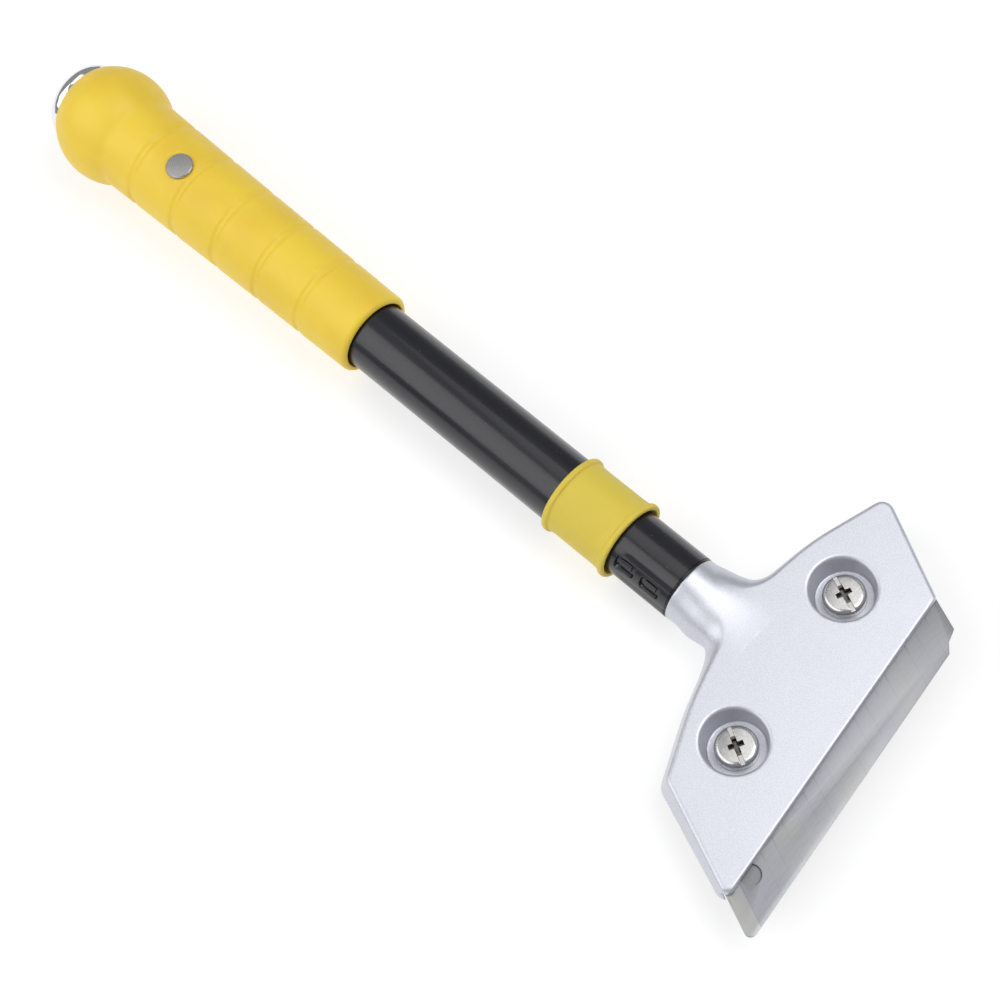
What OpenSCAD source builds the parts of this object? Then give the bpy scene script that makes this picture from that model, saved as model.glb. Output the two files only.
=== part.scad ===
// Long-handled blade scraper with a hammer butt.
// X runs along the handle from the butt to the blade, +Z is up on the screw side.
// The origin is on the handle's axis, midway along the bare tube.

/* [Handle tube] */
// Radius of the bare tube
tube_r = 9.5; // [9:0.1:10.5]
// Radius of the reduced front end of the tube
nose_r = 9; // [8.6:0.1:9]
// Wall of the tube
tube_wall = 1.2; // [1:0.1:1.5]
// Bare tube between the grip and the collar
bare_length = 70; // [60:1:90]

/* [Grip] */
// Length of the grooved sleeve in front of the ball
sleeve_length = 93.3; // [80:0.1:100]
// Radius of the sleeve at its front rim
sleeve_front_r = 11.9; // [11.5:0.1:12.5]
// Radius of the sleeve behind the first groove
sleeve_rear_r = 13.4; // [13:0.1:14]
// Number of ring grooves
groove_count = 5; // [3:1:5]
// Distance between two ring grooves
groove_pitch = 16; // [14:0.5:17]
// Depth of a ring groove
groove_depth = 0.45; // [0.2:0.05:0.6]
// Radius of the ball end
ball_r = 16.5; // [15:0.1:18]
// Height of the metal dome behind the ball
dome_height = 7.4; // [6:0.1:9]

/* [Collar] */
// Length of the collar
collar_length = 20.6; // [18:0.2:26]
// Radius of the collar's barrel
collar_r = 10.6; // [10.4:0.1:11]
// Radius of the collar's raised rims
collar_rim_r = 11.1; // [11:0.1:11.6]

/* [Head] */
// Turn of the head about +Z, which sets the blade off square to the handle
head_skew = 7; // [0:0.5:10]
// Height of the head's top face above the handle's axis
face_z = 5.7; // [5:0.1:6.5]
// Slope of the clamp plane against the handle's axis
clamp_tilt = 6; // [4:0.5:7]
// Distance from the tube's end to the line of the screws
screw_reach = 33.2; // [32:0.2:35]
// Distance from the tube's end to the front edge of the head
head_reach = 52.1; // [51:0.1:53]
// Thickness of the head at the line of the screws
head_thickness = 6.9; // [6.5:0.1:7.5]
// Length over which the round neck turns into the flat plate
neck_length = 14; // [12:0.5:16]

/* [Blade] */
// Length of the blade from tip to tip
blade_length = 100; // [96:1:102]
// Width of the blade
blade_width = 18; // [17:0.5:18]
// Thickness of the blade
blade_thickness = 0.6; // [0.5:0.05:0.7]
// How far the cutting edge stands out in front of the head
blade_reach = 10.3; // [8:0.1:11]
// Diameter of the hole at the blade's tail
blade_hole_d = 5.4; // [5:0.1:6]

/* [Clamp screws] */
// Diameter of the screw's shank
screw_d = 4.8; // [4.6:0.1:5]
// Radius of the screw's head
screw_head_r = 5.3; // [4.5:0.1:5.5]
// Height of the screw's head
screw_head_h = 2.6; // [2.4:0.1:3]
// Radius of the washer
washer_r = 5.5; // [5.3:0.1:6]
// Thickness of the washer
washer_h = 0.8; // [0.6:0.1:1]

/* [Hidden] */
$fn = 72;
eps = 0.01;

// stations along the handle
grip_front_x = -bare_length / 2;
crease_x = grip_front_x - sleeve_length;
ball_x = crease_x - 9.6;
cap_seam_x = ball_x - 11.1;
collar_rear_x = bare_length / 2;
collar_front_x = collar_rear_x + collar_length;
swage_x = collar_rear_x + 12;
swage_length = 3;
tube_end_x = collar_front_x + 19.1;
tube_rear_x = cap_seam_x + 5;
rivet_x = -105.8;
rivet_r = 2.5;
rivet_head_r = 3.8;
rivet_head_h = 1;
rivet_turn = 5;

// depth at which the rivet's heads sit on the sleeve
rivet_seat = 12.5;
// the ball end is part of a sphere
function ball_radius(x) = sqrt(pow(ball_r, 2) - pow(x - ball_x, 2));
// the sleeve tapers evenly from the crease to its front rim
function sleeve_radius(x) = sleeve_rear_r
    + (sleeve_front_r - sleeve_rear_r) * (x - crease_x) / (grip_front_x - crease_x);

// screw positions across the head, and the clamp plane's own measures
left_screw_v = -27.7;
right_screw_v = 19;
through_r = screw_d / 2 + 0.35;
plate_hole_r = screw_d / 2 + 0.05;
seat_r = 7.4;
rim_r = 8.3;
seat_w = 1.3;
counterbore_h = 7;
plate_thickness = 3.4;
lip_w = 2.7;
step_s = 10;
front_s = (head_reach - screw_reach) / cos(clamp_tilt);
edge_s = front_s + blade_reach;
blade_back_s = edge_s - blade_width;
blade_w = lip_w - blade_thickness;
end_slope = tan(30);
edge_length = blade_length - blade_width * end_slope;
edge_left_v = -65.6;
blade_hole_v = edge_left_v + 13.7;
// the clamp plate supports the blade a little way in front of the head
plate_front_s = front_s + 4.4;
// place across the head of the blade's left end
function blade_end_v(s) = edge_left_v + (edge_s - s) * end_slope;

// pressed pockets that crimp the tube to the head's spigot
crimp_x = [60.4, 68.5];
crimp_angle = 148;
crimp_length = 5.4;
crimp_width = 3.6;
crimp_floor_r = 7.2;
crimp_wall = 0.6;
press_flat_r = 8.4;
spigot_r = nose_r - tube_wall;
spigot_length = 24;

// Points of an arc that rounds the corner at b between a and c
function corner(a, b, c, r, steps = 6) =
    let (p = (a - b) / norm(a - b), q = (c - b) / norm(c - b),
         half = acos(p * q) / 2,
         m = (p + q) / norm(p + q),
         centre = b + m * r / sin(half),
         start = b + p * r / tan(half) - centre,
         side = cross([p.x, p.y, 0], [q.x, q.y, 0]).z > 0 ? -1 : 1,
         sweep = (180 - 2 * half) * side)
    [for (i = [0:steps]) let (t = sweep * i / steps)
        centre + [start.x * cos(t) - start.y * sin(t), start.x * sin(t) + start.y * cos(t)]];

// A closed outline through corners [u, v, radius]
function rounded(path) = [for (i = [0:len(path) - 1])
    let (n = len(path), a = path[(i + n - 1) % n], b = path[i], c = path[(i + 1) % n])
    each corner([a.x, a.y], [b.x, b.y], [c.x, c.y], b.z)];

// Outline of the head: distance from the tube's end, then the reach of the left bottom edge,
// left top edge, right top edge and right bottom edge from the middle
head_widths = [
    [0, 9, 6.4, 6.4, 9], [3, 9.6, 6.5, 6.6, 9.2], [6, 10, 6.6, 6.8, 9.4], [9, 10.8, 6.7, 7.2, 9.8],
    [11, 11.7, 6.8, 7.7, 10.6], [12.5, 13, 6.9, 8.4, 12], [14, 15.4, 7.2, 9.6, 14.4],
    [15.3, 19.6, 8.8, 11.5, 18], [16.5, 25.2, 13.4, 14.2, 22.5], [18, 31.2, 20.9, 20.4, 27.5],
    [20, 37.2, 29.2, 26.5, 33], [22, 41.5, 36.2, 31.8, 38], [24, 44.3, 41.2, 36.6, 42.2],
    [26, 46.2, 44, 40.6, 45], [28, 47.5, 45.4, 43, 45.8], [30, 49, 46.6, 42.8, 44.9],
    [40, 54.6, 52.6, 37.4, 38.7], [head_reach, 61.3, 59.3, 28.9, 30.4]];

// Height of the clamp plane under a point of the head
function clamp_z(u) = face_z - head_thickness + (u - screw_reach) * tan(clamp_tilt);

// Handle frame to the head's own frame, u forward from the tube's end and v across
module in_head() {
    translate([tube_end_x, 0, 0]) rotate([0, 0, head_skew]) children();
}

// Head frame to the clamp frame, s forward from the screws and w up off the clamp plane
module in_clamp() {
    in_head() translate([screw_reach, 0, face_z - head_thickness]) rotate([0, -clamp_tilt, 0])
        children();
}

// Reach of one edge of the head, k = 1 to 4, at a distance u from the tube's end
function reach(u, k) = lookup(u, [for (row = head_widths) [row[0], row[k]]]);

// Flat-topped section of the head at u, as a point for each angle round the middle
function plate_point(u, a) =
    let (low = clamp_z(u), lb = reach(u, 1), lt = reach(u, 2), rt = reach(u, 3), rb = reach(u, 4))
    [lookup(a, [[-90, 0], [-45, rb], [0, rb * 0.6 + rt * 0.4], [22.5, rt + 0.5], [45, rt - 0.5], [90, 0],
                [135, 0.5 - lt], [157.5, -lt - 0.5], [180, -lb * 0.6 - lt * 0.4], [225, -lb], [270, 0]]),
     lookup(a, [[-90, low], [-45, low], [0, (low + face_z) / 2], [22.5, face_z - 1], [45, face_z],
                [90, face_z], [135, face_z], [157.5, face_z - 1], [180, (low + face_z) / 2],
                [225, low], [270, low]])];

// Section of the head at u: a circle at the tube's end that turns into the flat-topped plate
function head_section(u) = let (t = min(1, u / neck_length))
    [for (i = [0:31]) let (a = i * 360 / 32 - 90)
        (1 - t) * nose_r * [cos(a), sin(a)] + t * plate_point(u, a)];

// Neck and wedge-shaped plate of the head in one piece, in the head frame
module head_body() {
    n = 32;
    rings = len(head_widths);
    last = (rings - 1) * n;
    // the first section lies square on the tube's end, so it is turned back by the skew
    points = concat([for (p = head_section(0)) [p.x * sin(head_skew), p.x * cos(head_skew), p.y]],
                    [for (k = [1:rings - 1]) each
                        [for (p = head_section(head_widths[k][0])) [head_widths[k][0], p.x, p.y]]],
                    [[head_reach, 0, face_z - 1]]);
    sides = [for (k = [0:rings - 2], i = [0:n - 1])
        let (j = (i + 1) % n, low = k * n, high = low + n)
        each [[low + i, high + i, high + j], [low + i, high + j, low + j]]];
    front = [for (i = [0:n - 1]) [last + n, last + (i + 1) % n, last + i]];
    polyhedron(points, concat(sides, [[for (i = [0:n - 1]) i]], front));
}

// Cut-outs of one screw, in the clamp frame
module screw_seat(v) {
    translate([0, v, -3]) cylinder(h = 6, r = through_r);
    translate([0, v, seat_w]) cylinder(h = counterbore_h, r1 = seat_r, r2 = rim_r + 0.3);
}

module head_casting() color("silver") {
    difference() {
        union() {
            in_head() head_body();
            spigot();
        }
        blade_rebate();
        in_clamp() for (v = [left_screw_v, right_screw_v]) screw_seat(v);
    }
}

// Room for the blade and the clamp bar, with a thin cheek left standing beside the blade's left end
module blade_rebate() {
    gap = 0.3;
    far = step_s + 40;
    in_clamp() translate([0, 0, -10]) linear_extrude(10 + lip_w)
        polygon([[step_s, blade_end_v(step_s) - gap], [far, blade_end_v(far) - gap], [far, 80],
                 [step_s, 80]]);
}

// Spigot that the tube is crimped onto, with the pockets' hollows
module spigot() {
    difference() {
        translate([tube_end_x - spigot_length, 0, 0]) rotate([0, 90, 0])
            cylinder(h = spigot_length + 2, r = spigot_r);
        for (x = crimp_x) crimp_block(x, crimp_floor_r - crimp_wall, 4, crimp_wall);
    }
}

// Block of height h standing outwards from a radius at one crimp pocket
module crimp_block(x, r, h, margin = 0) {
    rotate([crimp_angle - 90, 0, 0])
        translate([x - crimp_length / 2 - margin, -crimp_width / 2 - margin, r])
        cube([crimp_length + 2 * margin, crimp_width + 2 * margin, h]);
}

module clamp_plate() color("lightgray") {
    in_clamp() difference() {
        union() {
            clamp_slab();
            clamp_bar();
        }
        for (v = [left_screw_v, right_screw_v]) translate([0, v, -plate_thickness - 1])
            cylinder(h = plate_thickness + 2, r = plate_hole_r);
    }
}

// Flat slab under the head, with its front thinned towards the blade
module clamp_slab() {
    rear = -12;
    nose = plate_front_s;
    thin = 1.2;
    intersection() {
        translate([0, 0, -plate_thickness]) linear_extrude(plate_thickness)
            polygon(rounded([[rear, -38.6, 2.5], [-7, -45.4, 2.5], [nose, -61.4, 1.5], [nose, 26, 1.5],
                             [-6.5, 44, 2.5], [rear, 35, 2.5]]));
        translate([0, 70, 0]) rotate([90, 0, 0]) linear_extrude(140)
            polygon([[rear - 1, -plate_thickness], [step_s + 1.5, -plate_thickness], [nose + 1, -thin],
                     [nose + 1, 1], [rear - 1, 1]]);
    }
}

// Raised bar that presses the blade up against the head's lip
module clamp_bar() {
    back = step_s + 0.3;
    nose = plate_front_s;
    translate([0, 0, -eps]) linear_extrude(blade_w + eps)
        polygon([[back, blade_end_v(back) + 0.5], [nose, blade_end_v(nose) + 0.5], [nose, 25.8],
                 [back, 33.8]]);
}

module blade() color("darkgray") {
    tail = edge_left_v + blade_width * end_slope;
    right = edge_left_v + edge_length;
    in_clamp() translate([0, 0, blade_w]) difference() {
        linear_extrude(blade_thickness) polygon(concat(
            corner([blade_back_s, tail], [edge_s, edge_left_v], [edge_s, 0], 1.6),
            [[edge_s, right - 4.6], [edge_s - 1.8, right - 1.9], [edge_s - 2.5, right + 2.5 * end_slope],
             [blade_back_s, tail + edge_length], [blade_back_s, tail]]));
        translate([edge_s - blade_width / 2, blade_hole_v, -1])
            cylinder(h = blade_thickness + 2, d = blade_hole_d);
        blade_bevel(0);
        blade_bevel(1);
    }
}

// Wedge ground off one side of the cutting edge
module blade_bevel(side) {
    land = 0.06;
    length = 1.6;
    translate([0, 0, blade_thickness / 2]) mirror([0, 0, side]) translate([0, 80, 0])
        rotate([90, 0, 0]) linear_extrude(160)
        polygon([[edge_s - length, blade_thickness / 2], [edge_s + 0.2, land / 2 - 0.03],
                 [edge_s + 0.2, 1], [edge_s - length, 1]]);
}

// One pan-head screw with a slot and a cross recess, turned about its axis in the clamp frame
module clamp_screw(v, turn) {
    tip_w = 0.2 - plate_thickness;
    head_w = seat_w + washer_h;
    top_w = head_w + screw_head_h;
    crown = 0.8;
    in_clamp() translate([0, v, 0]) rotate([0, 0, turn]) difference() {
        union() {
            translate([0, 0, tip_w]) cylinder(h = head_w - tip_w + eps, d = screw_d);
            translate([0, 0, head_w]) cylinder(h = screw_head_h - crown, r = screw_head_r);
            translate([0, 0, top_w - crown])
                cylinder(h = crown, r1 = screw_head_r, r2 = screw_head_r - 1.1);
        }
        translate([-screw_head_r - 1, -0.55, top_w - 0.8]) cube([2 * screw_head_r + 2, 1.1, 2]);
        for (arm = [0, 90]) rotate([0, 0, arm]) translate([-2.3, -0.6, top_w - 1.8])
            cube([4.6, 1.2, 3]);
    }
}

module left_clamp_screw() color("gainsboro") clamp_screw(left_screw_v, -36);

module right_clamp_screw() color("gainsboro") clamp_screw(right_screw_v, -30);

module washer(v) {
    in_clamp() translate([0, v, seat_w]) difference() {
        cylinder(h = washer_h, r = washer_r);
        translate([0, 0, -1]) cylinder(h = washer_h + 2, r = screw_d / 2 + 0.2);
    }
}

module left_washer() color("gray") washer(left_screw_v);

module right_washer() color("gray") washer(right_screw_v);

module handle_tube() color([0.18, 0.18, 0.2]) {
    difference() {
        union() {
            rotate([0, 90, 0]) rotate_extrude() polygon([
                [tube_r - tube_wall, tube_rear_x], [tube_r, tube_rear_x],
                [tube_r, swage_x], [nose_r, swage_x + swage_length],
                [nose_r, tube_end_x], [spigot_r, tube_end_x],
                [spigot_r, swage_x + swage_length], [tube_r - tube_wall, swage_x]]);
            for (x = crimp_x)
                crimp_block(x, crimp_floor_r - crimp_wall, spigot_r - crimp_floor_r + 2 * crimp_wall - 0.2,
                            crimp_wall);
        }
        for (x = crimp_x) crimp_block(x, crimp_floor_r, 6);
        rotate([crimp_angle - 90, 0, 0]) translate([57.5, -10, press_flat_r]) cube([15.5, 20, 4]);
        rivet_hole();
    }
}

// Hole for the cross rivet
module rivet_hole() {
    rivet_line() cylinder(h = 60, r = rivet_r, center = true);
}

// Frame of the cross rivet, its axis along Z
module rivet_line() {
    translate([rivet_x, 0, 0]) rotate([rivet_turn, 0, 0]) children();
}

module front_collar() color([0.84, 0.75, 0.31]) {
    rim = 1.8;
    rotate([0, 90, 0]) rotate_extrude() polygon([
        [tube_r, collar_rear_x + 0.6], [tube_r + 0.5, collar_rear_x], [collar_rim_r - 0.4, collar_rear_x],
        [collar_rim_r, collar_rear_x + 0.5], [collar_rim_r, collar_rear_x + rim],
        [collar_r, collar_rear_x + rim + 1], [collar_r, collar_front_x - rim - 1],
        [collar_rim_r, collar_front_x - rim], [collar_rim_r, collar_front_x - 0.5],
        [collar_rim_r - 0.4, collar_front_x], [nose_r + 0.6, collar_front_x],
        [nose_r, collar_front_x - 1], [nose_r, swage_x + swage_length], [tube_r, swage_x]]);
}

// Half profile of the ball end, from the cap seam to the crease
function ball_profile() = [for (i = [0:24])
    let (x = cap_seam_x + (crease_x - cap_seam_x) * i / 24) [ball_radius(x), x]];

// Half profile of the sleeve with its ring grooves and rounded front rim
function sleeve_profile() = concat(
    [for (k = [0:groove_count - 1])
        let (x = crease_x + 11.3 + k * groove_pitch, r = sleeve_radius(x), g = groove_depth)
        each [[r, x - 1.3], [r - g, x - 0.4], [r - g, x + 0.4], [r, x + 1.3]]],
    [for (a = [0:15:90])
        [sleeve_front_r - 1.5 + 1.5 * cos(a), grip_front_x - 1.5 + 1.5 * sin(a)]]);

module grip_sleeve() color([0.93, 0.81, 0.32]) {
    difference() {
        rotate([0, 90, 0]) rotate_extrude() polygon(concat(
            [[tube_r, cap_seam_x]], ball_profile(), [[sleeve_rear_r, crease_x + 1.5]], sleeve_profile(),
            [[tube_r + 0.5, grip_front_x], [tube_r, grip_front_x - 1]]));
        rivet_hole();
        for (s = [0, 1]) rivet_line() mirror([0, 0, s])
            translate([0, 0, rivet_seat]) cylinder(h = 6, r = rivet_head_r + 0.1);
    }
}

// Half profile of the hammer's dome
function dome_profile() = [for (i = [0:16])
    let (t = 90 * i / 16, base_r = ball_radius(cap_seam_x) - 0.2)
    [base_r * sin(t), cap_seam_x - dome_height * cos(t)]];

module hammer_butt() color("whitesmoke") {
    shank_r = tube_r - tube_wall;
    shank_front_x = rivet_x + 12;
    difference() {
        rotate([0, 90, 0]) rotate_extrude() polygon(concat(
            dome_profile(), [[tube_r, cap_seam_x], [tube_r, tube_rear_x], [shank_r, tube_rear_x],
            [shank_r, shank_front_x], [0, shank_front_x]]));
        rivet_hole();
    }
}

module cross_rivet() color("silver") rivet_line() {
    cylinder(h = 2 * rivet_seat, r = rivet_r, center = true);
    for (s = [0, 1]) mirror([0, 0, s]) translate([0, 0, rivet_seat - eps]) {
        cylinder(h = rivet_head_h - 0.3, r = rivet_head_r);
        translate([0, 0, rivet_head_h - 0.3]) cylinder(h = 0.3, r1 = rivet_head_r, r2 = rivet_head_r - 0.3);
    }
}

head_casting();
clamp_plate();
blade();
left_clamp_screw();
right_clamp_screw();
left_washer();
right_washer();
handle_tube();
front_collar();
grip_sleeve();
hammer_butt();
cross_rivet();
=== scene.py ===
"""Looks of a long-handled blade scraper: moulded grip, painted tube, sprayed cast head and steel blade.

Lengths are in millimetres until a mesh, light or camera is placed. X runs along the handle to the head and
Z is up. The head has its own frame (u forward, v across, z up), turned about Z at the tube's end. The clamp
has another (s forward, v across, w up), with its origin on the line of the screws and its front tilted up.
"""
import math

import bpy
import numpy as np
from mathutils import Matrix, Vector


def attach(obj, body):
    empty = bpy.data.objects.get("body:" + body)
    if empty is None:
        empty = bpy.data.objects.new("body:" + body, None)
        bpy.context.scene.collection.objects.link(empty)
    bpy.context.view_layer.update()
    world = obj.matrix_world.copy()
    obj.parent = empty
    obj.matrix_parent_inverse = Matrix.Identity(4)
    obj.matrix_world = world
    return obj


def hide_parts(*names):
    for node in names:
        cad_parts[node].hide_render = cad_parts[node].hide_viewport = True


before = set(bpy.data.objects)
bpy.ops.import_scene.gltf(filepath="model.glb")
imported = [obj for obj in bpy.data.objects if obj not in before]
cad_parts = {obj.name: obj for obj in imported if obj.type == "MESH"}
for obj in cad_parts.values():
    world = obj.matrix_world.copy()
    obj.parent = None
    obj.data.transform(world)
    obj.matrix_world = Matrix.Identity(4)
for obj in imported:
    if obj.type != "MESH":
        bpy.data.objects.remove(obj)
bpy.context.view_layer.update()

MM = 0.001
TUBE_END = 74.7        # where the tube meets the cast head
HEAD_SKEW = math.radians(7)
CLAMP_TILT = math.radians(6)
SCREW_U = 33.2         # the line of the screws, forward of the tube's end
SCREW_Z = -1.2         # height of the clamp plane at that line
SCREW_V = (-27.7, 19.0)
FACE_Z = 5.7           # the head's flat face
FRONT_U = 52.1         # the head's front edge
EDGE_S = 29.3          # the blade's cutting edge, forward of the screws
BLADE_LEFT_V = -65.6   # the left end of that edge
BLADE_SLANT = math.tan(math.radians(30))   # how far the blade's ends lean across for each mm forward
SNAP_PITCH = 4.4       # between the snap lines on the blade

TO_HEAD = np.array(Matrix.Rotation(HEAD_SKEW, 3, "Z"))
TO_CLAMP = TO_HEAD @ np.array(Matrix.Rotation(-CLAMP_TILT, 3, "Y"))
HEAD_ORIGIN = np.array([TUBE_END, 0, 0])


def clamp_frame(v):
    """Matrix of the clamp's frame, moved v across, in millimetres."""
    place = HEAD_ORIGIN + TO_HEAD @ np.array([SCREW_U, 0, SCREW_Z]) + TO_CLAMP @ np.array([0, v, 0])
    return Matrix.Translation(place.tolist()) @ Matrix(TO_CLAMP.tolist()).to_4x4()


# ---------- meshes ----------

def add_mesh(name, points, faces, sharp=math.radians(40)):
    """A smooth-shaded mesh object from points in millimetres."""
    mesh = bpy.data.meshes.new(name)
    mesh.from_pydata((np.asarray(points, float) * MM).tolist(), [], faces)
    mesh.validate()
    mesh.shade_smooth()
    if sharp:
        mesh.set_sharp_from_angle(angle=sharp)
    made = bpy.data.objects.new(name, mesh)
    bpy.context.scene.collection.objects.link(made)
    return made


def finish_piece(piece, body, node, material):
    """Puts a piece on its body in place of the CAD node, with its finish."""
    piece.data.materials.append(material)
    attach(piece, body)
    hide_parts(node)


def rounded_path(corners, steps=6):
    """A path through corners (x, r, radius), each rounded with an arc of its radius."""
    path = []
    for i, (x, r, radius) in enumerate(corners):
        here = np.array([x, r], float)
        if radius == 0 or i in (0, len(corners) - 1):
            path.append(here)
            continue
        back = np.array(corners[i - 1][:2], float) - here
        ahead = np.array(corners[i + 1][:2], float) - here
        back /= np.linalg.norm(back)
        ahead /= np.linalg.norm(ahead)
        half = math.acos(max(-1.0, min(1.0, float(back @ ahead)))) / 2
        middle = back + ahead
        centre = here + middle / np.linalg.norm(middle) * radius / math.sin(half)
        start = here + back * radius / math.tan(half) - centre
        side = -1 if back[0] * ahead[1] - back[1] * ahead[0] > 0 else 1
        for k in range(steps + 1):
            t = side * (math.pi - 2 * half) * k / steps
            turn = np.array([[math.cos(t), -math.sin(t)], [math.sin(t), math.cos(t)]])
            path.append(centre + turn @ start)
    return np.array(path)


def lathe(profile, steps, bend=None):
    """Points and faces of a closed profile (x, r) turned about X; bend may change each point's radius."""
    profile = np.asarray(profile, float)
    angle = np.linspace(0, 2 * math.pi, steps, endpoint=False)
    x = np.repeat(profile[:, 0:1], steps, 1)
    radius = np.repeat(profile[:, 1:2], steps, 1)
    turn = np.repeat(angle[None, :], len(profile), 0)
    if bend:
        radius = bend(x, radius, turn)
    points = np.stack([x, radius * np.cos(turn), radius * np.sin(turn)], 2).reshape(-1, 3)
    rows = len(profile)
    faces = []
    for i in range(rows):
        low, high = i * steps, ((i + 1) % rows) * steps
        for k in range(steps):
            n = (k + 1) % steps
            faces.append((low + k, low + n, high + n, high + k))
    return points, faces


def smooth_min(a, b, k):
    """The lesser of two distances, with the corner between them filled by about k."""
    h = np.clip(0.5 + 0.5 * (b - a) / k, 0, 1)
    return b * (1 - h) + a * h - k * h * (1 - h)


def round_max(a, b, r):
    """Where both shapes overlap, with the edge between them rounded to radius r."""
    return np.minimum(-r, np.maximum(a, b)) + np.hypot(np.maximum(r + a, 0), np.maximum(r + b, 0))


def smooth_step(x, low, high):
    """Rises smoothly from 0 at low to 1 at high."""
    t = np.clip((x - low) / (high - low), 0, 1)
    return t * t * (3 - 2 * t)


def outside_box(x, y, half_x, half_y):
    """Distance to a rectangle about the origin, zero inside it."""
    return np.hypot(np.maximum(np.abs(x) - half_x, 0), np.maximum(np.abs(y) - half_y, 0))


def grid_axes(low, high, step):
    """Evenly spaced places along each axis of a box."""
    size = np.ceil((high - low) / step).astype(int)
    return [low[n] + step * np.arange(size[n]) for n in range(3)]


def surface_nets(field, origin, step):
    """One point in each grid cell that the field's zero surface crosses, and the quads between them."""
    inside = field < 0
    corners = [(i, j, k) for i in (0, 1) for j in (0, 1) for k in (0, 1)]
    shape = np.array(field.shape) - 1
    cut = [inside[i:shape[0] + i, j:shape[1] + j, k:shape[2] + k] for i, j, k in corners]
    count = sum(c.astype(np.int8) for c in cut)
    active = (count > 0) & (count < 8)
    cells = np.argwhere(active)
    total = np.zeros((len(cells), 3))
    hits = np.zeros(len(cells))
    for a in corners:
        for axis in range(3):
            if a[axis]:
                continue
            b = tuple(1 if n == axis else a[n] for n in range(3))
            fa = field[tuple((cells + a).T)]
            fb = field[tuple((cells + b).T)]
            crossing = (fa < 0) != (fb < 0)
            t = np.where(crossing, fa / np.where(crossing, fa - fb, 1), 0)
            place = cells + np.array(a) + t[:, None] * (np.array(b) - np.array(a))
            total += crossing[:, None] * place
            hits += crossing
    points = np.array(origin) + total / hits[:, None] * step
    number = np.full(active.shape, -1)
    number[active] = np.arange(len(cells))
    quads = []
    for axis in range(3):
        one, two = [n for n in range(3) if n != axis]
        low = [slice(None)] * 3
        high = [slice(None)] * 3
        low[axis], high[axis] = slice(0, -1), slice(1, None)
        flips = inside[tuple(low)] != inside[tuple(high)]
        edges = np.argwhere(flips)
        edges = edges[(edges[:, one] > 0) & (edges[:, two] > 0)
                      & (edges[:, one] < shape[one]) & (edges[:, two] < shape[two])]
        goes_out = inside[tuple(edges.T)]
        around = []
        for d_one, d_two in ((-1, -1), (0, -1), (0, 0), (-1, 0)):
            cell = edges.copy()
            cell[:, one] += d_one
            cell[:, two] += d_two
            around.append(number[tuple(cell.T)])
        quad = np.stack(around, 1)
        flip = goes_out if axis != 1 else ~goes_out
        quad[~flip] = quad[~flip][:, ::-1]
        quads.append(quad)
    return points, np.concatenate(quads)


def slope(distance, points, gap):
    """Gradient of a distance function at points."""
    out = np.zeros_like(points)
    for axis in range(3):
        shift = np.zeros(3)
        shift[axis] = gap
        out[:, axis] = (distance(points + shift) - distance(points - shift)) / (2 * gap)
    return out


def settle(points, distance, turns=3, gap=0.02, most=0.4, least_slope=0.2):
    """Moves points onto the zero surface of a distance function, at most a little each turn."""
    for _ in range(turns):
        value = distance(points)
        grade = slope(distance, points, gap)
        size = np.maximum((grade ** 2).sum(1), least_slope)
        points = points - grade * (np.clip(value, -most, most) / size)[:, None]
    return points


def add_solid(name, distance, field, low, step, turn, origin, normal_gap=0.16):
    """Smooth mesh of a distance function, placed by a rotation and an origin.

    The normals are the function's slope over normal_gap of a grid step.
    """
    points, quads = surface_nets(field, low, step)
    points = settle(points, distance)
    normals = slope(distance, points, normal_gap * step)
    normals /= np.maximum(np.linalg.norm(normals, axis=1), 1e-9)[:, None]
    made = add_mesh(name, points @ turn.T + origin, quads.tolist(), None)
    made.data.normals_split_custom_set_from_vertices((normals @ turn.T).tolist())
    return made


# ---------- materials ----------

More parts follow.
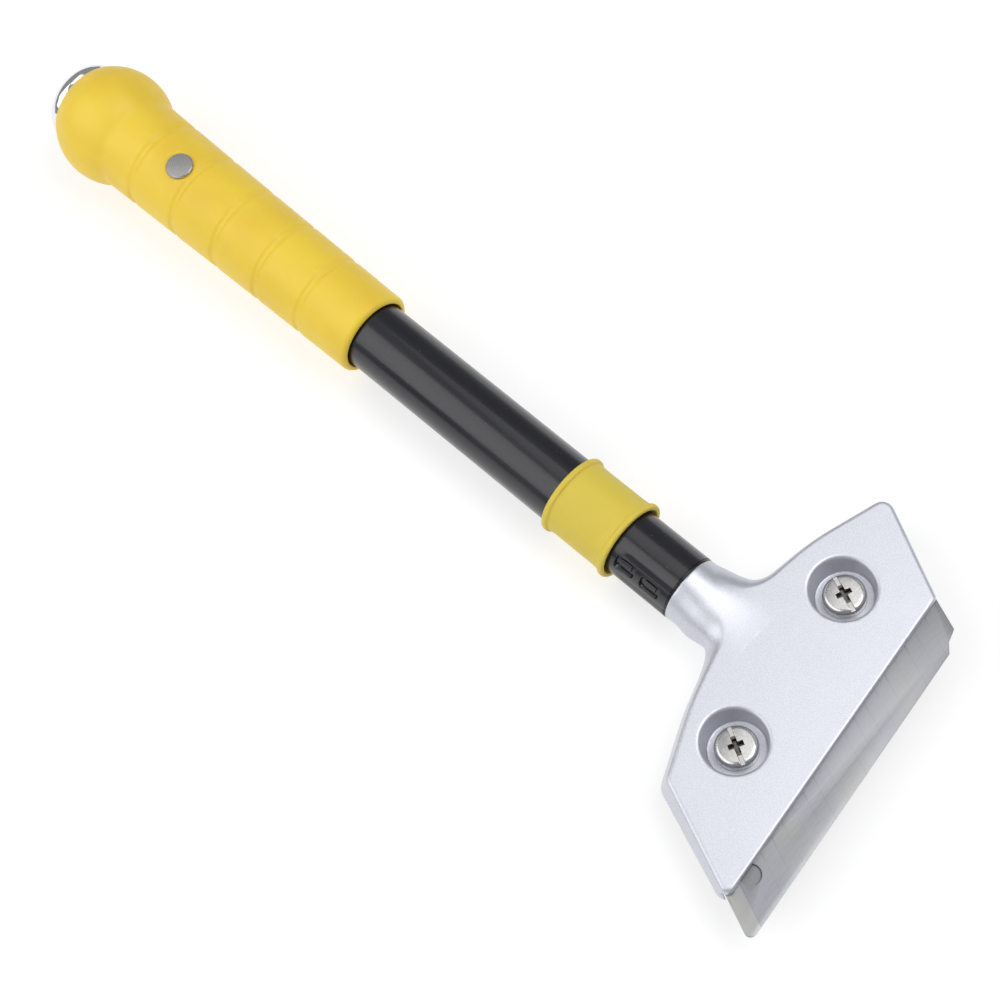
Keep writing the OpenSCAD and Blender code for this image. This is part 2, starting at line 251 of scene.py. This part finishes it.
class Nodes:
    """Short ways to build one material's nodes; keywords set the shader's sockets, with _ for a space."""

    def __init__(self, name, **shader):
        self.material = bpy.data.materials.new(name)
        self.material.use_nodes = True
        self.tree = self.material.node_tree
        self.shader = self.tree.nodes["Principled BSDF"]
        for socket, value in shader.items():
            self.shader.inputs[socket.replace("_", " ")].default_value = value
        self.place = self.tree.nodes.new("ShaderNodeTexCoord").outputs["Object"]

    def link(self, source, target):
        """Joins two sockets; returns the builder so that calls can follow on."""
        self.tree.links.new(source, target)
        return self

    def stretched(self, scale, turn=(0, 0, 0)):
        """Object coordinates in millimetres, scaled and turned."""
        node = self.tree.nodes.new("ShaderNodeMapping")
        node.inputs["Rotation"].default_value = turn
        node.inputs["Scale"].default_value = [s / MM for s in scale]
        self.link(self.place, node.inputs["Vector"])
        return node.outputs["Vector"]

    def noise(self, scale=(1, 1, 1), size=1.0, detail=3.0, roughness=0.5, turn=(0, 0, 0)):
        """Noise whose features are about size millimetres."""
        node = self.tree.nodes.new("ShaderNodeTexNoise")
        node.inputs["Scale"].default_value = 1 / size
        node.inputs["Detail"].default_value = detail
        node.inputs["Roughness"].default_value = roughness
        self.link(self.stretched(scale, turn), node.inputs["Vector"])
        return node.outputs["Fac"]

    def ramp(self, source, stops):
        """Colours or values along a 0 to 1 input."""
        node = self.tree.nodes.new("ShaderNodeValToRGB")
        elements = node.color_ramp.elements
        while len(elements) < len(stops):
            elements.new(0.5)
        for element, (place, colour) in zip(elements, stops):
            element.position = place
            if isinstance(colour, (int, float)):
                colour = (colour, colour, colour)
            element.color = (*colour, 1)
        self.link(source, node.inputs["Fac"])
        return node.outputs["Color"]

    def mix(self, amount, a, b):
        """Blend of two colours; each input is a value, a colour or a socket."""
        node = self.tree.nodes.new("ShaderNodeMix")
        node.data_type = "RGBA"
        for socket, value in ((node.inputs[0], amount), (node.inputs[6], a), (node.inputs[7], b)):
            if isinstance(value, (int, float)):
                socket.default_value = value
            elif isinstance(value, tuple):
                socket.default_value = (*value, 1)
            else:
                self.link(value, socket)
        return node.outputs[2]

    def colour(self, source):
        return self.link(source, self.shader.inputs["Base Color"])

    def rough(self, source, low, high):
        """Roughness that varies between low and high."""
        return self.link(self.ramp(source, [(0.3, low), (0.7, high)]), self.shader.inputs["Roughness"])

    def bump(self, source, height, strength=1.0):
        """Bump of a height in millimetres."""
        node = self.tree.nodes.new("ShaderNodeBump")
        node.inputs["Strength"].default_value = strength
        node.inputs["Distance"].default_value = height * MM
        self.link(source, node.inputs["Height"])
        if self.shader.inputs["Normal"].is_linked:
            self.link(self.shader.inputs["Normal"].links[0].from_socket, node.inputs["Normal"])
        return self.link(node.outputs["Normal"], self.shader.inputs["Normal"])

    def math(self, operation, a, b=0.0):
        """One sum on two inputs, each a value or a socket."""
        node = self.tree.nodes.new("ShaderNodeMath")
        node.operation = operation
        for socket, value in zip(node.inputs, (a, b)):
            if isinstance(value, (int, float)):
                socket.default_value = value
            else:
                self.link(value, socket)
        return node.outputs[0]

    def local(self, matrix):
        """The surface point in millimetres in the frame of a matrix, as three sockets."""
        back = matrix.inverted()
        node = self.tree.nodes.new("ShaderNodeMapping")
        node.inputs["Rotation"].default_value = back.to_euler()
        node.inputs["Location"].default_value = back.to_translation()
        node.inputs["Scale"].default_value = (1 / MM, 1 / MM, 1 / MM)
        split = self.tree.nodes.new("ShaderNodeSeparateXYZ")
        self.link(self.place, node.inputs["Vector"]).link(node.outputs["Vector"], split.inputs["Vector"])
        return split.outputs


def sprayed_metal(name, light, dark):
    """Metallic spray paint: fine flakes and a very fine orange peel."""
    n = Nodes(name, Metallic=0.72, Roughness=0.4)
    flakes = n.noise(size=0.32, detail=2)
    cloud = n.noise(size=9, detail=3)
    colour = n.ramp(flakes, [(0.36, dark), (0.64, light)])
    n.colour(n.mix(n.ramp(cloud, [(0.3, 0.0), (0.8, 0.25)]), colour, light))
    n.rough(flakes, 0.36, 0.5)
    n.bump(flakes, 0.02, 0.5)
    n.bump(n.noise(size=1.6, detail=2), 0.03, 0.3)
    return n.material


def grip_plastic(name, light, dark, roughness):
    """Soft moulded plastic with faint flow marks and handling scuffs."""
    n = Nodes(name, Roughness=roughness, Specular_IOR_Level=0.35, Subsurface_Weight=0.12,
              Subsurface_Scale=0.004)
    n.shader.inputs["Subsurface Radius"].default_value = (1.0, 0.6, 0.15)
    cloud = n.noise(scale=(0.6, 1, 1), size=14, detail=3)
    n.colour(n.ramp(cloud, [(0.32, dark), (0.62, light)]))
    n.rough(n.noise(size=2.5, detail=4, roughness=0.6), roughness - 0.06, roughness + 0.1)
    n.bump(n.noise(size=0.35, detail=2), 0.012, 0.5)
    n.bump(n.noise(scale=(0.25, 1, 1), size=7, detail=2), 0.08, 0.3)
    return n.material


def black_paint():
    """Glossy black enamel with a faint orange peel and a few dust specks."""
    n = Nodes("black_paint", Roughness=0.25, Coat_Weight=0.3, Coat_Roughness=0.1, Specular_IOR_Level=0.5)
    specks = n.noise(size=0.5, detail=1)
    n.colour(n.ramp(specks, [(0.74, (0.007, 0.007, 0.011)), (0.8, (0.06, 0.06, 0.07))]))
    n.rough(n.noise(scale=(0.1, 1, 1), size=3, detail=4), 0.22, 0.34)
    n.bump(n.noise(size=1.2, detail=2), 0.02, 0.25)
    return n.material


def polished(name, colour, roughness, screw_v=None):
    """Plated or polished metal with fine marks, and painted shade darkening the recess of the screw at
    screw_v.
    """
    recess_r = 2.6
    recess_top = 4.15
    n = Nodes(name, Metallic=1.0, Roughness=roughness)
    marks = n.noise(size=0.5, detail=5, roughness=0.7)
    shade = n.ramp(marks, [(0.3, tuple(c * 0.86 for c in colour)), (0.6, colour)])
    if screw_v is not None:
        # Painted shade: inside the screw's recess the colour is darkened to a near-black brown, standing in
        # for shadow.
        forward, across, up = n.local(clamp_frame(screw_v))
        reach = n.math("SQRT", n.math("ADD", n.math("MULTIPLY", forward, forward),
                                      n.math("MULTIPLY", across, across)))
        recess_shade = n.math("MULTIPLY", n.math("LESS_THAN", up, recess_top),
                      n.math("LESS_THAN", reach, recess_r))
        shade = n.mix(n.math("MULTIPLY", recess_shade, 0.9), shade, (0.10, 0.085, 0.07))
    n.colour(shade)
    n.rough(n.noise(size=1.5, detail=4, roughness=0.65), max(roughness - 0.04, 0.02), roughness + 0.1)
    n.bump(marks, 0.01, 0.4)
    return n.material


def blade_steel():
    """Ground strip steel: oil tints, fine grinding marks and faint slanted snap lines."""
    tail_width = 4.6
    n = Nodes("blade_steel", Metallic=0.75, Roughness=0.45)
    forward, across, _ = n.local(clamp_frame(0))
    slant = n.math("ADD", across, n.math("MULTIPLY", forward, BLADE_SLANT))

    tint = n.noise(size=15, detail=3)
    oils = [(0.35, (0.36, 0.36, 0.345)), (0.5, (0.37, 0.37, 0.39)), (0.65, (0.34, 0.35, 0.385))]
    shade = n.ramp(tint, oils)
    # The shade deepens from 35 mm left of the middle to 15 mm right of it.
    far_end = n.ramp(n.math("MULTIPLY", n.math("ADD", across, 65.0), 0.01), [(0.3, 0.0), (0.8, 0.4)])
    shade = n.mix(far_end, shade, (0.22, 0.22, 0.235))
    lengthwise = n.noise(scale=(1, 0.05, 1), size=0.16, detail=3, turn=(0, 0, -HEAD_SKEW))
    shade = n.mix(0.2, shade, n.ramp(lengthwise, [(0.3, 0.25), (0.7, 0.52)]))
    tail = n.math("LESS_THAN", slant, BLADE_LEFT_V + EDGE_S * BLADE_SLANT + tail_width)
    shade = n.mix(n.math("MULTIPLY", tail, 0.5), shade, (0.5, 0.49, 0.46))

    # The snap lines are real grooves, bumped in; their dark colour is painted shade, strongest beside the
    # head's lip, and patchy.
    place = n.math("FRACT", n.math("MULTIPLY", n.math("ADD", slant, 200.0), 1 / SNAP_PITCH))
    line = n.ramp(place, [(0.47, 0.0), (0.5, 1.0), (0.53, 0.0)])
    # Painted shade: the snap lines are darker beside the lip and fainter further forward.
    lip_shade = n.ramp(n.math("MULTIPLY", forward, 0.02), [(0.4, 0.75), (0.435, 0.22)])
    patchy = n.ramp(n.noise(size=5, detail=1), [(0.4, 0.3), (0.6, 1.0)])
    line = n.math("MULTIPLY", n.math("MULTIPLY", line, lip_shade), patchy)
    n.colour(n.mix(line, shade, (0.08, 0.08, 0.08)))
    n.rough(lengthwise, 0.4, 0.52)
    n.bump(lengthwise, 0.006, 0.5)
    n.bump(n.math("MULTIPLY", line, -1.0), 0.05, 0.5)
    return n.material


def turned_steel(centre):
    """A rivet's turned face: fine rings about a centre given in metres."""
    n = Nodes("rivet_steel", Metallic=0.9, Roughness=0.4)
    move = n.tree.nodes.new("ShaderNodeMapping")
    move.inputs["Location"].default_value = [-c for c in centre]
    n.link(n.place, move.inputs["Vector"])
    rings = n.tree.nodes.new("ShaderNodeTexWave")
    rings.wave_type = "RINGS"
    rings.rings_direction = "Z"
    rings.inputs["Scale"].default_value = 600
    rings.inputs["Distortion"].default_value = 1.5
    n.link(move.outputs["Vector"], rings.inputs["Vector"])
    ring = rings.outputs["Fac"]
    turned = n.ramp(ring, [(0.2, (0.36, 0.35, 0.34)), (0.8, (0.5, 0.49, 0.47))])
    worn = n.ramp(n.noise(size=0.4, detail=3), [(0.3, 0.3), (0.7, 0.55)])
    n.colour(n.mix(0.35, turned, worn))
    n.bump(ring, 0.01, 0.3)
    return n.material


silver = sprayed_metal("sprayed_metal", (0.68, 0.69, 0.75), (0.55, 0.56, 0.62))
# Painted shade: the clamp plate is given a dark grey so that it reads as shadow where it shows through the
# blade's hole.
plate_painted_shade = sprayed_metal("plate_metal", (0.2, 0.2, 0.21), (0.14, 0.14, 0.15))
grip_yellow = grip_plastic("grip_plastic", (0.87, 0.62, 0.058), (0.81, 0.55, 0.05), 0.42)
collar_yellow = grip_plastic("collar_plastic", (0.72, 0.56, 0.075), (0.66, 0.50, 0.065), 0.5)
black = black_paint()
chrome = polished("chrome", (0.86, 0.86, 0.88), 0.06)
plated = polished("washer_steel", (0.66, 0.65, 0.64), 0.16)
steel = blade_steel()


# ---------- pieces ----------

BALL_X = -137.9
BALL_R = 16.5
SEAM_X = -149          # where the metal dome meets the ball
TAPER_X = -125.5       # where the sleeve's taper starts
SLEEVE_FRONT_X = -35
SLEEVE_BORE_R = 9.6
GROOVES = (-117.0, -100.8, -84.9, -68.9, -52.9)
GROOVE_DEPTH = 0.5
GROOVE_HALF_WIDTH = 0.95
RIVET_X = -105.8
RIVET_TURN = math.radians(5)
SPOT_R = 4.0           # the spot face around each end of the rivet
SPOT_HEIGHT = 12.6
TUBE_R = 9.5
TUBE_FRONT_R = 9.0     # in front of the shoulder hidden by the collar
TUBE_FRONT_BORE_R = 7.8
SHOULDER_X = 47


def grip_radius(x):
    """Outer radius of the ball end and the grooved sleeve."""
    ball = np.sqrt(np.maximum(BALL_R ** 2 - (x - BALL_X) ** 2, 0))
    t = (x - TAPER_X) / (SLEEVE_FRONT_X - TAPER_X)
    sleeve = np.where(x > -133, 13.5 - 2.2 * t + 0.5 * t * t, 0)
    radius = -smooth_min(-ball, -sleeve, 0.9)
    for groove in GROOVES:
        radius = radius - GROOVE_DEPTH * np.exp(-((x - groove) / GROOVE_HALF_WIDTH) ** 4)
    return radius


def spot_face(x, radius, turn):
    """Flattens the outside of the sleeve a little under each end of the cross rivet."""
    y, z = radius * np.cos(turn), radius * np.sin(turn)
    across = y * math.cos(RIVET_TURN) + z * math.sin(RIVET_TURN)
    up = np.abs(z * math.cos(RIVET_TURN) - y * math.sin(RIVET_TURN))
    near = 1 - smooth_step(np.hypot(x - RIVET_X, across), SPOT_R, SPOT_R + 0.7)
    flat = np.where(up > 1, radius * SPOT_HEIGHT / np.maximum(up, 1), radius)
    outside = radius > 11
    return np.where(outside, radius + near * np.minimum(flat - radius, 0), radius)


def grip():
    """Moulded grip: ball end and grooved sleeve in one, with its bore."""
    rounding_x = -36.6
    rear = rounded_path([(-145, SLEEVE_BORE_R, 0), (SEAM_X, SLEEVE_BORE_R, 0), (SEAM_X, 12.2, 0.3),
                         (-148.6, 12.55, 0)])
    outer = [(x, float(grip_radius(x))) for x in np.arange(SEAM_X + 0.5, rounding_x, 0.3)]
    front = rounded_path([(rounding_x, 11.83, 0), (SLEEVE_FRONT_X, 11.78, 1.5), (SLEEVE_FRONT_X, 10.0, 0.3),
                          (-38, 9.9, 0)])
    profile = np.concatenate([rear[:-1], outer, front[1:], [(-60, SLEEVE_BORE_R)]])
    points, faces = lathe(profile, steps=200, bend=spot_face)
    finish_piece(add_mesh("grip", points, faces), "handle", "grip_sleeve", grip_yellow)


def butt():
    """Chromed dome with a small step at its seam, on a shank inside the grip."""
    shank_front_x = -100
    shank_r = 8.2
    dome_r = 11.9
    dome_height = 6.4
    t = np.linspace(math.pi / 2, 0.001, 40)
    dome = np.stack([SEAM_X - 1 - dome_height * np.cos(t), dome_r * np.sin(t)], 1)
    shank = [(shank_front_x, 0.05), (shank_front_x, shank_r), (-145, shank_r), (-149.2, 8.4), (-149.2, 11.5)]
    points, faces = lathe(np.concatenate([shank, dome]), steps=160)
    finish_piece(add_mesh("hammer_dome", points, faces), "handle", "hammer_butt", chrome)


def crimped(x, radius, turn):
    """Presses the dished band and the two pockets into the outside of the tube's front."""
    band_depth = 0.42
    pocket_depth = 0.95
    block_height = 0.5
    arc_r = 8.6
    degrees = np.degrees(turn)
    outside = radius > 8.5
    along = smooth_step(x, 56, 61)
    band = smooth_step(degrees, 116, 132) * (1 - smooth_step(degrees, 170, 188))
    out = radius - band_depth * along * band * outside
    for pocket_x, pocket_degrees in ((60.4, 147.3), (68.5, 149.7)):
        across = (degrees - pocket_degrees) * math.pi / 180 * arc_r
        hole = 1 - smooth_step(outside_box(x - pocket_x, across, 2.0, 0.9), 0.75, 1.05)
        block = 1 - smooth_step(outside_box(x - pocket_x, across + 0.25, 1.4, 0.5), 0.3, 0.55)
        out = out - (hole * pocket_depth - block * block_height) * outside
    return out


def tube():
    """Painted tube, with finer rings where it is crimped."""
    stations = np.concatenate([np.arange(-60, 46, 6.0), np.arange(SHOULDER_X, 57, 1.0),
                               np.arange(57, 74.4, 0.15)])
    step_down = TUBE_R - TUBE_FRONT_R
    outer = [(x, TUBE_R - step_down * float(smooth_step(x, SHOULDER_X, SHOULDER_X + 3))) for x in stations]
    end = rounded_path([(74.0, TUBE_FRONT_R, 0), (TUBE_END, TUBE_FRONT_R, 0.35),
                        (TUBE_END, TUBE_FRONT_BORE_R, 0)])
    profile = np.concatenate([[(-60, 8.3)], outer, end, [(50, TUBE_FRONT_BORE_R), (SHOULDER_X, 8.3)]])
    points, faces = lathe(profile, steps=360, bend=crimped)
    finish_piece(add_mesh("painted_tube", points, faces), "handle", "handle_tube", black)


def collar():
    """Plastic ring with a rim at each end of its waist."""
    rear_rim = [(35.9, 9.55, 0), (35.1, 9.8, 0.2), (35.0, 11.15, 0.6), (36.5, 11.15, 0.6), (36.8, 10.45, 0.3)]
    waist = [(39.5, 10.35, 1.5), (51.5, 10.35, 1.5)]
    front_rim = [(53.9, 10.55, 0.3), (54.2, 11.2, 0.6), (55.6, 11.2, 0.6), (55.6, 9.9, 0.3)]
    bore = [(54.8, 9.55, 0), (50, 9.1, 0), (SHOULDER_X, 9.55, 0)]
    points, faces = lathe(rounded_path(rear_rim + waist + front_rim + bore), steps=200)
    finish_piece(add_mesh("collar", points, faces), "handle", "front_collar", collar_yellow)


def rivet():
    """Pin with a chamfered, slightly domed head at each end."""
    corners = [(12.4, 2.5, 0), (12.5, 3.75, 0.1), (13.2, 3.8, 0.12), (13.5, 3.45, 0.15), (13.55, 0.02, 0)]
    side = rounded_path(corners, steps=3)
    profile = np.concatenate([side[::-1], side * (-1, 1)])
    points, faces = lathe(profile, steps=96)
    upright = np.array(Matrix.Rotation(RIVET_TURN, 3, "X") @ Matrix.Rotation(-math.pi / 2, 3, "Y"))
    points = points @ upright.T + (RIVET_X, 0, 0)
    material = turned_steel((RIVET_X * MM, 0, 0))
    finish_piece(add_mesh("rivet", points, faces), "handle", "cross_rivet", material)


def closed_outline(corners):
    """A closed path through corners (u, v, radius), each rounded."""
    ring = [corners[-1][:2] + (0,)] + list(corners) + [corners[0][:2] + (0,)]
    return rounded_path(ring)[1:-1]


FACE_OUTLINE = closed_outline([
    (5, -6.4, 2), (14.2, -6.8, 5), (18.7, -27, 70), (24.3, -44.6, 3.4), (FRONT_U + 0.3, -60.5, 2.2),
    (FRONT_U + 0.3, 29.2, 1.8), (28.0, 45.7, 2.8), (19.4, 26, 70), (14.9, 9.4, 7.5), (5, 6.6, 2)])


def outline_distance(u, v):
    """Signed distance to the outline of the head's face, negative inside."""
    nearest = np.full(np.broadcast(u, v).shape, 1e9)
    inside = np.zeros(nearest.shape, bool)
    ends = np.roll(FACE_OUTLINE, -1, 0)
    for (au, av), (bu, bv) in zip(FACE_OUTLINE, ends):
        du, dv = bu - au, bv - av
        t = np.clip(((u - au) * du + (v - av) * dv) / (du * du + dv * dv), 0, 1)
        nearest = np.minimum(nearest, (u - au - t * du) ** 2 + (v - av - t * dv) ** 2)
        if av != bv:
            inside ^= ((av > v) != (bv > v)) & (u < du * (v - av) / dv + au)
    return np.where(inside, -1, 1) * np.sqrt(nearest)


def head_distance(points, flat=None):
    """Distance to the cast head, in the head's frame; flat is the outline's distance if it is known.

    The factors of 0.975, 0.99 and 0.86 keep distances about true at walls that lean.
    """
    u, v, z = points[..., 0], points[..., 1], points[..., 2]
    s = (u - SCREW_U) * math.cos(CLAMP_TILT) + (z - SCREW_Z) * math.sin(CLAMP_TILT)
    w = (z - SCREW_Z) * math.cos(CLAMP_TILT) - (u - SCREW_U) * math.sin(CLAMP_TILT)
    flat = outline_distance(u, v) if flat is None else flat

    # The plate: side walls that lean out as they go down, a flat face, the clamp plane and the front.
    wall_lean = 0.22
    side = (flat - wall_lean * (FACE_Z - z)) * 0.975
    face_rounding = 0.85 + 2.4 * (1 - smooth_step(u, 11, 19))
    plate = round_max(side, z - FACE_Z, face_rounding)
    plate = round_max(plate, -w, 0.5)
    plate = round_max(plate, u - FRONT_U, 0.5)

    # The neck: as round as the tube where it starts, then lower and slightly narrower, and rising.
    neck_end_x = 20
    x = u * math.cos(HEAD_SKEW) - v * math.sin(HEAD_SKEW)
    y = u * math.sin(HEAD_SKEW) + v * math.cos(HEAD_SKEW)
    tall = np.maximum(TUBE_FRONT_R - 0.33 * x, 1)
    wide = TUBE_FRONT_R - 0.1 * x
    power = 2 + 0.5 * smooth_step(x, 2, 12)
    neck = ((np.abs(y) / wide) ** power + (np.abs(z - 0.1 * x) / tall) ** power) ** (1 / power) - 1
    neck = np.maximum(neck * np.minimum(tall, wide), x - neck_end_x)
    fillet = 2.2 + 2.6 * (1 - smooth_step(z, 0, 6))
    body = round_max(smooth_min(plate, neck, fillet), -x, 0.55)

    # The counterbores flare slightly, and each has a through hole for the screw's shank.
    bore_r = 7.4
    bore_flare = 0.14
    bore_floor = 1.3
    hole_r = 2.75
    for middle in SCREW_V:
        reach = np.hypot(s, v - middle)
        bore = round_max((reach - bore_r - bore_flare * (w - bore_floor)) * 0.99, bore_floor - w, 0.35)
        body = round_max(body, -bore, 0.75)
        body = np.maximum(body, hole_r - reach)

    # The rebate that the blade lies in stops just past its left end, which leaves a thin cheek beside it.
    rebate_back_s = 10
    rebate_top_w = 2.7
    end_gap = 0.3
    blade_end = BLADE_LEFT_V + (EDGE_S - s) * BLADE_SLANT - end_gap
    rebate = np.maximum(np.maximum(rebate_back_s - s, w - rebate_top_w), (blade_end - v) * 0.86)
    return round_max(body, -rebate, 0.3)


def head():
    """The cast head, from its distance function."""
    step = 0.5
    low = np.array([-2.5, -63.5, -10.5])
    high = np.array([54.5, 49.5, 10.5])
    u, v, z = grid_axes(low, high, step)
    flat = outline_distance(u[:, None], v[None, :])
    grid = np.stack(np.meshgrid(u, v, z, indexing="ij"), 3)
    field = head_distance(grid, flat[:, :, None])
    made = add_solid("cast_head", head_distance, field, low, step, TO_HEAD, HEAD_ORIGIN)
    finish_piece(made, "handle", "head_casting", silver)


def screw_distance(points):
    """Distance to a pan-head screw with a slot and a cross recess, in its own frame."""
    head_r = 5.45
    seat_w = 2.15
    top_w = 4.7
    shank_r = 2.4
    tip_w = -3.2
    slot_half_width = 0.55
    slot_floor = 3.95
    arm_length = 1.75
    arm_half_width = 0.42
    cross_floor = 3.0
    x, y, w = np.abs(points[..., 0]), np.abs(points[..., 1]), points[..., 2]
    reach = np.hypot(x, y)
    pan = round_max(reach - head_r, w - top_w + 0.008 * reach * reach, 1.3)
    pan = round_max(pan, seat_w - w, 0.15)
    shank = np.maximum(reach - shank_r, np.maximum(w - 3, tip_w - w))
    slot = np.maximum(y - slot_half_width, slot_floor - w)
    taper = 0.12 * (w - cross_floor)
    arm = np.maximum(x - arm_length - taper, y - arm_half_width - taper)
    other = np.maximum(y - arm_length - taper, x - arm_half_width - taper)
    cross = np.maximum(np.minimum(arm, other), cross_floor - w)
    return round_max(np.minimum(pan, shank), -np.minimum(slot, cross), 0.14)


def screw(side, middle, turn_degrees):
    """A clamp screw at middle across, with its slot turned by an angle."""
    step = 0.15
    low = np.array([-5.8, -5.8, -3.6])
    high = np.array([5.8, 5.8, 5.2])
    grid = np.stack(np.meshgrid(*grid_axes(low, high, step), indexing="ij"), 3)
    place = clamp_frame(middle)
    turn = np.array(place.to_3x3() @ Matrix.Rotation(math.radians(turn_degrees), 3, "Z"))
    made = add_solid(f"{side}_screw", screw_distance, screw_distance(grid), low, step, turn,
                     np.array(place.to_translation()))
    material = polished(f"{side}_screw_steel", (0.64, 0.63, 0.62), 0.22, screw_v=middle)
    finish_piece(made, f"{side}_screw", f"{side}_clamp_screw", material)


def dress(node, material, bevel):
    """A CAD piece whose shape is right: its edges are eased by modifiers and it gets its finish."""
    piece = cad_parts[node]
    piece.data.materials.clear()
    piece.data.materials.append(material)
    weld = piece.modifiers.new("weld", "WELD")
    weld.merge_threshold = 0.000001
    ease = piece.modifiers.new("ease", "BEVEL")
    ease.width = bevel * MM
    ease.segments = 3
    ease.limit_method = "ANGLE"
    ease.angle_limit = math.radians(30)
    ease.harden_normals = True
    for face in piece.data.polygons:
        face.use_smooth = True


head()
grip()
butt()
tube()
collar()
rivet()
dress("clamp_plate", plate_painted_shade, 0.4)
dress("blade", steel, 0.02)
screw("left", SCREW_V[0], -36)
screw("right", SCREW_V[1], -30)
dress("left_washer", plated, 0.12)
dress("right_washer", plated, 0.12)


# ---------- stage, light and camera ----------

def floor():
    """Pale floor that the ball end and the collar's front rim rest on."""
    rise = 0.0277
    gap = 0.05
    far = 8000
    corners = [(-far, -far), (far, -far), (far, far), (-far, far)]
    points = [(x, y, rise * (x - BALL_X) - BALL_R - gap) for x, y in corners]
    made = add_mesh("floor", points, [(0, 1, 2, 3)], None)
    n = Nodes("pale_floor", Roughness=0.8, Specular_IOR_Level=0.1, Emission_Strength=0.66)
    n.shader.inputs["Emission Color"].default_value = (1, 1, 1, 1)
    n.colour(n.ramp(n.noise(size=80, detail=2), [(0.3, 0.39), (0.7, 0.41)]))
    made.data.materials.append(n.material)


def softbox(name, place, size, power):
    """Area light aimed at the middle of the object."""
    light = bpy.data.lights.new(name, "AREA")
    light.shape = "RECTANGLE"
    light.size, light.size_y = [s * MM for s in size]
    light.energy = power
    made = bpy.data.objects.new(name, light)
    place = Vector([p * MM for p in place])
    made.location = place
    made.rotation_euler = (-place).to_track_quat("-Z", "Y").to_euler()
    bpy.context.scene.collection.objects.link(made)


def sky(strength):
    """Even, slightly cool light from all round."""
    world = bpy.data.worlds.new("studio")
    world.use_nodes = True
    background = world.node_tree.nodes["Background"]
    background.inputs["Color"].default_value = (0.95, 0.97, 1, 1)
    background.inputs["Strength"].default_value = strength
    bpy.context.scene.world = world


def camera():
    """Camera high in front of the head and to its left, rolled so that the tool lies across the frame."""
    lens = bpy.data.cameras.new("camera")
    lens.sensor_width = 36
    lens.lens = 82.8
    made = bpy.data.objects.new("camera", lens)
    bpy.context.scene.collection.objects.link(made)
    made.location = [p * MM for p in (228.644, -146.367, 527.907)]
    made.rotation_euler = [math.radians(degrees) for degrees in (24.1735, 6.2858, 43.3633)]
    bpy.context.scene.camera = made

floor()
softbox("key", (450, 400, 1050), (800, 800), 6)
softbox("side", (-420, -650, 775), (1300, 1050), 7)
softbox("over", (-110, 330, 1180), (800, 800), 2)
sky(0.3)
bpy.context.scene.view_settings.view_transform = "Standard"
camera()
